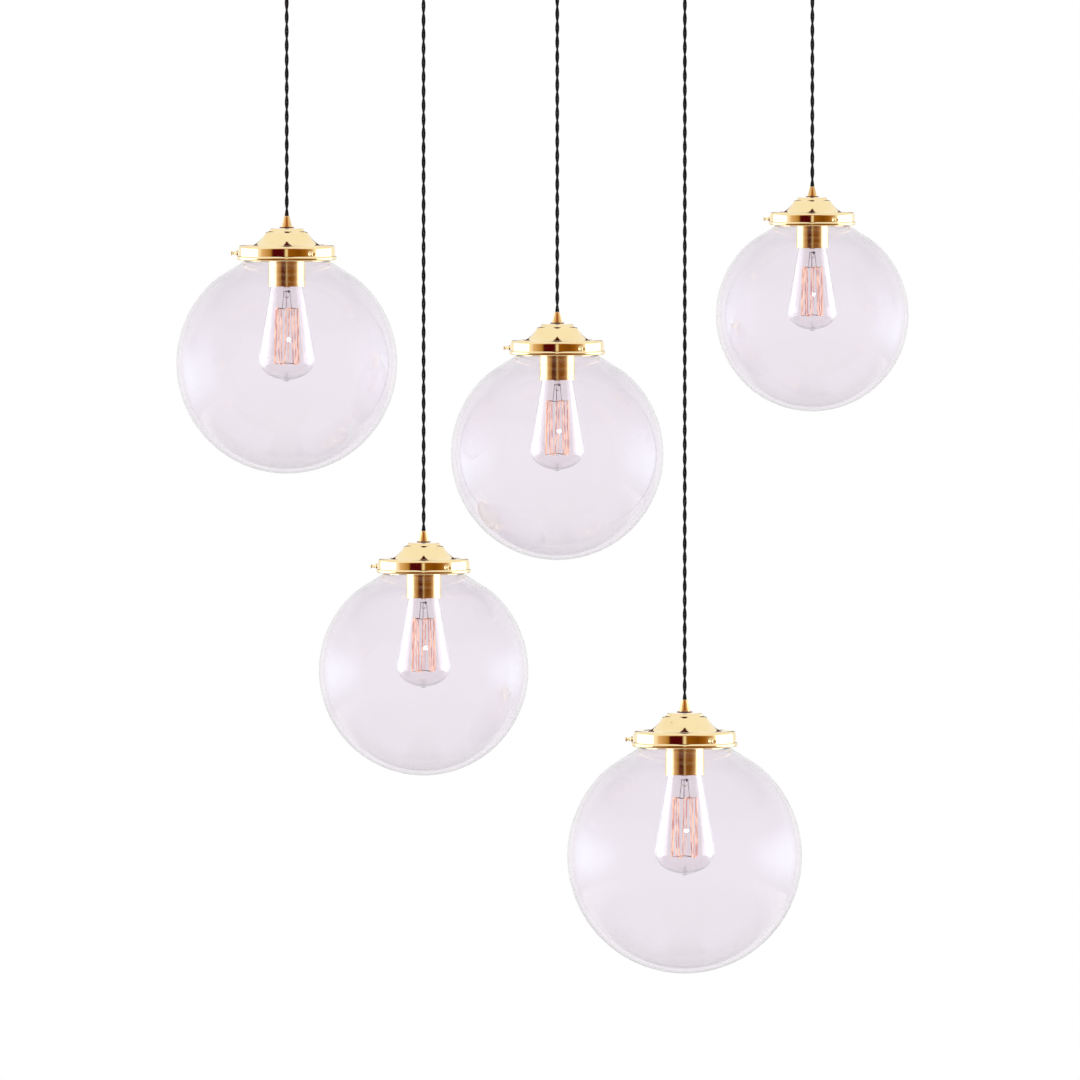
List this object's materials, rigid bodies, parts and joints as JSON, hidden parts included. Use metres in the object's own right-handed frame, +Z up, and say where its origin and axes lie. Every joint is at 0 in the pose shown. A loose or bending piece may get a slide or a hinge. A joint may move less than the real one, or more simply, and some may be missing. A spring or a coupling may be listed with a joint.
{
  "type": "linear bubble chandelier",
  "caption": "Linear chandelier: clear glass globes of stepped sizes hang at different heights on twisted flex from one long brass canopy, each with a caged filament bulb.",
  "frame": {"origin": "middle of the face that lies on the ceiling, on the bracket's top face", "axes": "+Z up into the ceiling, +X along the canopy to the right seen from the front, the front faces -Y"},
  "size_m": [0.8634, 0.2782, 1.2106],
  "materials": {
    "polished_brass": "polished, clear lacquered",
    "holder_brass": "brushed, satin",
    "clear_glass": "clear, blown",
    "bulb_glass": "clear, thin",
    "lamp_metal": "satin cap, coppery filament",
    "black_flex": "braided cotton, twisted",
    "zinc_steel": "zinc plated",
    "white_plastic": "moulded"
  },
  "bodies": {
    "fitting": {"canopy": "polished_brass", "ceiling_bracket": "zinc_steel", "terminal_block": "white_plastic", "canopy_nut_left": "polished_brass", "canopy_nut_right": "polished_brass", "ceiling_grip_1": "polished_brass", "ceiling_grip_2": "polished_brass", "ceiling_grip_3": "polished_brass", "ceiling_grip_4": "polished_brass", "ceiling_grip_5": "polished_brass"},
    "pendant_1": {"flex_1": "black_flex", "cord_grip_1": "polished_brass", "gallery_1": "polished_brass", "lampholder_1": "holder_brass"},
    "shade_1": {"globe_1": "clear_glass"},
    "lamp_1": {"bulb_glass_1": "bulb_glass", "bulb_mount_1": "lamp_metal"},
    "screw_1_left": {"thumbscrew_1_left": "polished_brass"},
    "screw_1_front": {"thumbscrew_1_front": "polished_brass"},
    "screw_1_back": {"thumbscrew_1_back": "polished_brass"},
    "pendant_2": {"flex_2": "black_flex", "cord_grip_2": "polished_brass", "gallery_2": "polished_brass", "lampholder_2": "holder_brass"},
    "shade_2": {"globe_2": "clear_glass"},
    "lamp_2": {"bulb_glass_2": "bulb_glass", "bulb_mount_2": "lamp_metal"},
    "screw_2_left": {"thumbscrew_2_left": "polished_brass"},
    "screw_2_front": {"thumbscrew_2_front": "polished_brass"},
    "screw_2_back": {"thumbscrew_2_back": "polished_brass"},
    "pendant_3": {"flex_3": "black_flex", "cord_grip_3": "polished_brass", "gallery_3": "polished_brass", "lampholder_3": "holder_brass"},
    "shade_3": {"globe_3": "clear_glass"},
    "lamp_3": {"bulb_glass_3": "bulb_glass", "bulb_mount_3": "lamp_metal"},
    "screw_3_left": {"thumbscrew_3_left": "polished_brass"},
    "screw_3_front": {"thumbscrew_3_front": "polished_brass"},
    "screw_3_back": {"thumbscrew_3_back": "polished_brass"},
    "pendant_4": {"flex_4": "black_flex", "cord_grip_4": "polished_brass", "gallery_4": "polished_brass", "lampholder_4": "holder_brass"},
    "shade_4": {"globe_4": "clear_glass"},
    "lamp_4": {"bulb_glass_4": "bulb_glass", "bulb_mount_4": "lamp_metal"},
    "screw_4_left": {"thumbscrew_4_left": "polished_brass"},
    "screw_4_front": {"thumbscrew_4_front": "polished_brass"},
    "screw_4_back": {"thumbscrew_4_back": "polished_brass"},
    "pendant_5": {"flex_5": "black_flex", "cord_grip_5": "polished_brass", "gallery_5": "polished_brass", "lampholder_5": "holder_brass"},
    "shade_5": {"globe_5": "clear_glass"},
    "lamp_5": {"bulb_glass_5": "bulb_glass", "bulb_mount_5": "lamp_metal"},
    "screw_5_left": {"thumbscrew_5_left": "polished_brass"},
    "screw_5_front": {"thumbscrew_5_front": "polished_brass"},
    "screw_5_back": {"thumbscrew_5_back": "polished_brass"}
  },
  "joints": [
    {"name": "pendant_1_swing", "type": "hinge", "parent": "fitting", "child": "pendant_1", "pos_m": [-0.31115, 0, -0.044], "axis": [1, 0, 0], "range_deg": [-8, 8]},
    {"name": "shade_1_drop", "type": "slide", "parent": "pendant_1", "child": "shade_1", "axis": [0, 0, -1], "range_m": [0, 0.014]},
    {"name": "lamp_1_unscrew", "type": "slide", "parent": "pendant_1", "child": "lamp_1", "axis": [0, 0, -1], "range_m": [0, 0.026]},
    {"name": "screw_1_left_back_out", "type": "slide", "parent": "pendant_1", "child": "screw_1_left", "axis": [-1, 0, 0], "range_m": [0, 0.005]},
    {"name": "screw_1_front_back_out", "type": "slide", "parent": "pendant_1", "child": "screw_1_front", "axis": [0.5, -0.866, 0], "range_m": [0, 0.005]},
    {"name": "screw_1_back_back_out", "type": "slide", "parent": "pendant_1", "child": "screw_1_back", "axis": [0.5, 0.866, 0], "range_m": [0, 0.005]},
    {"name": "pendant_2_swing", "type": "hinge", "parent": "fitting", "child": "pendant_2", "pos_m": [-0.14917, 0, -0.044], "axis": [1, 0, 0], "range_deg": [-8, 8]},
    {"name": "shade_2_drop", "type": "slide", "parent": "pendant_2", "child": "shade_2", "axis": [0, 0, -1], "range_m": [0, 0.014]},
    {"name": "lamp_2_unscrew", "type": "slide", "parent": "pendant_2", "child": "lamp_2", "axis": [0, 0, -1], "range_m": [0, 0.026]},
    {"name": "screw_2_left_back_out", "type": "slide", "parent": "pendant_2", "child": "screw_2_left", "axis": [-1, 0, 0], "range_m": [0, 0.005]},
    {"name": "screw_2_front_back_out", "type": "slide", "parent": "pendant_2", "child": "screw_2_front", "axis": [0.5, -0.866, 0], "range_m": [0, 0.005]},
    {"name": "screw_2_back_back_out", "type": "slide", "parent": "pendant_2", "child": "screw_2_back", "axis": [0.5, 0.866, 0], "range_m": [0, 0.005]},
    {"name": "pendant_3_swing", "type": "hinge", "parent": "fitting", "child": "pendant_3", "pos_m": [0.00912, 0, -0.044], "axis": [1, 0, 0], "range_deg": [-8, 8]},
    {"name": "shade_3_drop", "type": "slide", "parent": "pendant_3", "child": "shade_3", "axis": [0, 0, -1], "range_m": [0, 0.014]},
    {"name": "lamp_3_unscrew", "type": "slide", "parent": "pendant_3", "child": "lamp_3", "axis": [0, 0, -1], "range_m": [0, 0.026]},
    {"name": "screw_3_left_back_out", "type": "slide", "parent": "pendant_3", "child": "screw_3_left", "axis": [-1, 0, 0], "range_m": [0, 0.005]},
    {"name": "screw_3_front_back_out", "type": "slide", "parent": "pendant_3", "child": "screw_3_front", "axis": [0.5, -0.866, 0], "range_m": [0, 0.005]},
    {"name": "screw_3_back_back_out", "type": "slide", "parent": "pendant_3", "child": "screw_3_back", "axis": [0.5, 0.866, 0], "range_m": [0, 0.005]},
    {"name": "pendant_4_swing", "type": "hinge", "parent": "fitting", "child": "pendant_4", "pos_m": [0.16018, 0, -0.044], "axis": [1, 0, 0], "range_deg": [-8, 8]},
    {"name": "shade_4_drop", "type": "slide", "parent": "pendant_4", "child": "shade_4", "axis": [0, 0, -1], "range_m": [0, 0.014]},
    {"name": "lamp_4_unscrew", "type": "slide", "parent": "pendant_4", "child": "lamp_4", "axis": [0, 0, -1], "range_m": [0, 0.026]},
    {"name": "screw_4_left_back_out", "type": "slide", "parent": "pendant_4", "child": "screw_4_left", "axis": [-1, 0, 0], "range_m": [0, 0.005]},
    {"name": "screw_4_front_back_out", "type": "slide", "parent": "pendant_4", "child": "screw_4_front", "axis": [0.5, -0.866, 0], "range_m": [0, 0.005]},
    {"name": "screw_4_back_back_out", "type": "slide", "parent": "pendant_4", "child": "screw_4_back", "axis": [0.5, 0.866, 0], "range_m": [0, 0.005]},
    {"name": "pendant_5_swing", "type": "hinge", "parent": "fitting", "child": "pendant_5", "pos_m": [0.31115, 0, -0.044], "axis": [1, 0, 0], "range_deg": [-8, 8]},
    {"name": "shade_5_drop", "type": "slide", "parent": "pendant_5", "child": "shade_5", "axis": [0, 0, -1], "range_m": [0, 0.014]},
    {"name": "lamp_5_unscrew", "type": "slide", "parent": "pendant_5", "child": "lamp_5", "axis": [0, 0, -1], "range_m": [0, 0.026]},
    {"name": "screw_5_left_back_out", "type": "slide", "parent": "pendant_5", "child": "screw_5_left", "axis": [-1, 0, 0], "range_m": [0, 0.005]},
    {"name": "screw_5_front_back_out", "type": "slide", "parent": "pendant_5", "child": "screw_5_front", "axis": [0.5, -0.866, 0], "range_m": [0, 0.005]},
    {"name": "screw_5_back_back_out", "type": "slide", "parent": "pendant_5", "child": "screw_5_back", "axis": [0.5, 0.866, 0], "range_m": [0, 0.005]}
  ]
}
